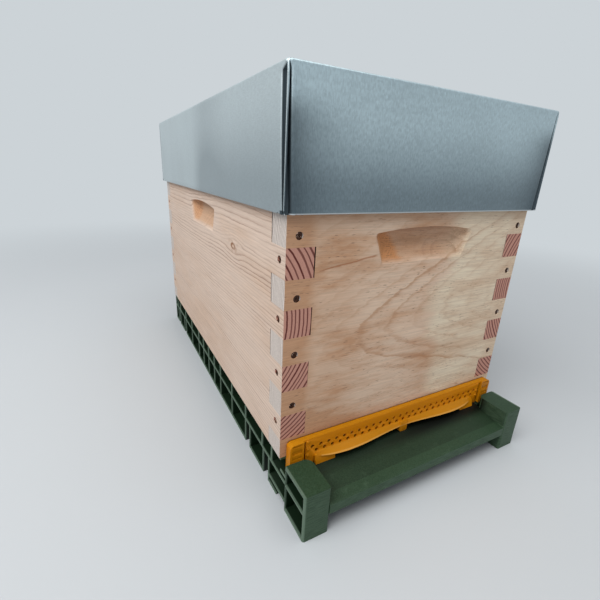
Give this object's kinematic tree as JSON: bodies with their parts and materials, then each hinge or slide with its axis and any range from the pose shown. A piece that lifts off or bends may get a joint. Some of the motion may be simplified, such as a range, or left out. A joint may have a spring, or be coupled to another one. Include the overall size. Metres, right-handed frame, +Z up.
{
  "type": "nucleus hive",
  "caption": "Small wooden beehive with finger-jointed walls on a ribbed plastic floor, with an entrance guard, hanging frames, a cover and a metal roof.",
  "frame": {"origin": "on the ground, under the middle of the whole hive", "axes": "+Z up, the front with the entrance and landing board towards -Y, +X to the right seen from the front"},
  "size_m": [0.3, 0.555, 0.3658],
  "materials": {
    "board_pine": "planed, unpainted",
    "frame_wood": "planed, unpainted",
    "plywood": "sanded",
    "galvanised": "galvanised sheet",
    "screw_steel": "bronze passivated",
    "nail_steel": "bright",
    "wire_steel": "tinned wire",
    "floor_plastic": "moulded, dark green",
    "guard_plastic": "moulded, amber"
  },
  "bodies": {
    "floor": {"floor_moulding": "floor_plastic"},
    "guard": {"entrance_guard": "guard_plastic"},
    "box": {"front_board": "board_pine", "back_board": "board_pine", "left_board": "board_pine", "right_board": "board_pine", "front_left_screws": "screw_steel", "front_right_screws": "screw_steel", "back_left_screws": "screw_steel", "back_right_screws": "screw_steel", "front_frame_runner": "galvanised", "back_frame_runner": "galvanised", "front_runner_nails": "nail_steel", "back_runner_nails": "nail_steel"},
    "frame_1": {"frame_1_top_bar": "frame_wood", "frame_1_front_end_bar": "frame_wood", "frame_1_back_end_bar": "frame_wood", "frame_1_bottom_bar": "frame_wood", "frame_1_wires": "wire_steel"},
    "frame_2": {"frame_2_top_bar": "frame_wood", "frame_2_front_end_bar": "frame_wood", "frame_2_back_end_bar": "frame_wood", "frame_2_bottom_bar": "frame_wood", "frame_2_wires": "wire_steel"},
    "frame_3": {"frame_3_top_bar": "frame_wood", "frame_3_front_end_bar": "frame_wood", "frame_3_back_end_bar": "frame_wood", "frame_3_bottom_bar": "frame_wood", "frame_3_wires": "wire_steel"},
    "frame_4": {"frame_4_top_bar": "frame_wood", "frame_4_front_end_bar": "frame_wood", "frame_4_back_end_bar": "frame_wood", "frame_4_bottom_bar": "frame_wood", "frame_4_wires": "wire_steel"},
    "frame_5": {"frame_5_top_bar": "frame_wood", "frame_5_front_end_bar": "frame_wood", "frame_5_back_end_bar": "frame_wood", "frame_5_bottom_bar": "frame_wood", "frame_5_wires": "wire_steel"},
    "frame_6": {"frame_6_top_bar": "frame_wood", "frame_6_front_end_bar": "frame_wood", "frame_6_back_end_bar": "frame_wood", "frame_6_bottom_bar": "frame_wood", "frame_6_wires": "wire_steel"},
    "cover": {"inner_cover": "plywood"},
    "roof": {"roof_sheet": "galvanised"}
  },
  "joints": [
    {"name": "lift_guard", "type": "slide", "parent": "floor", "child": "guard", "axis": [0, 0, 1], "range_m": [0, 0.04]},
    {"name": "lift_box", "type": "slide", "parent": "floor", "child": "box", "axis": [0, 0, 1], "range_m": [0, 0.1]},
    {"name": "lift_frame_1", "type": "slide", "parent": "box", "child": "frame_1", "axis": [0, 0, 1], "range_m": [0, 0.31]},
    {"name": "lift_frame_2", "type": "slide", "parent": "box", "child": "frame_2", "axis": [0, 0, 1], "range_m": [0, 0.31]},
    {"name": "lift_frame_3", "type": "slide", "parent": "box", "child": "frame_3", "axis": [0, 0, 1], "range_m": [0, 0.31]},
    {"name": "lift_frame_4", "type": "slide", "parent": "box", "child": "frame_4", "axis": [0, 0, 1], "range_m": [0, 0.31]},
    {"name": "lift_frame_5", "type": "slide", "parent": "box", "child": "frame_5", "axis": [0, 0, 1], "range_m": [0, 0.31]},
    {"name": "lift_frame_6", "type": "slide", "parent": "box", "child": "frame_6", "axis": [0, 0, 1], "range_m": [0, 0.31]},
    {"name": "lift_cover", "type": "slide", "parent": "frame_1", "child": "cover", "axis": [0, 0, 1], "range_m": [0, 0.1]},
    {"name": "lift_roof", "type": "slide", "parent": "cover", "child": "roof", "axis": [0, 0, 1], "range_m": [0, 0.12]}
  ],
  "couplings": [
    {"joint": "lift_frame_2", "follows": "lift_frame_1", "ratio": 1},
    {"joint": "lift_frame_3", "follows": "lift_frame_1", "ratio": 1},
    {"joint": "lift_frame_4", "follows": "lift_frame_1", "ratio": 1},
    {"joint": "lift_frame_5", "follows": "lift_frame_1", "ratio": 1},
    {"joint": "lift_frame_6", "follows": "lift_frame_1", "ratio": 1}
  ]
}
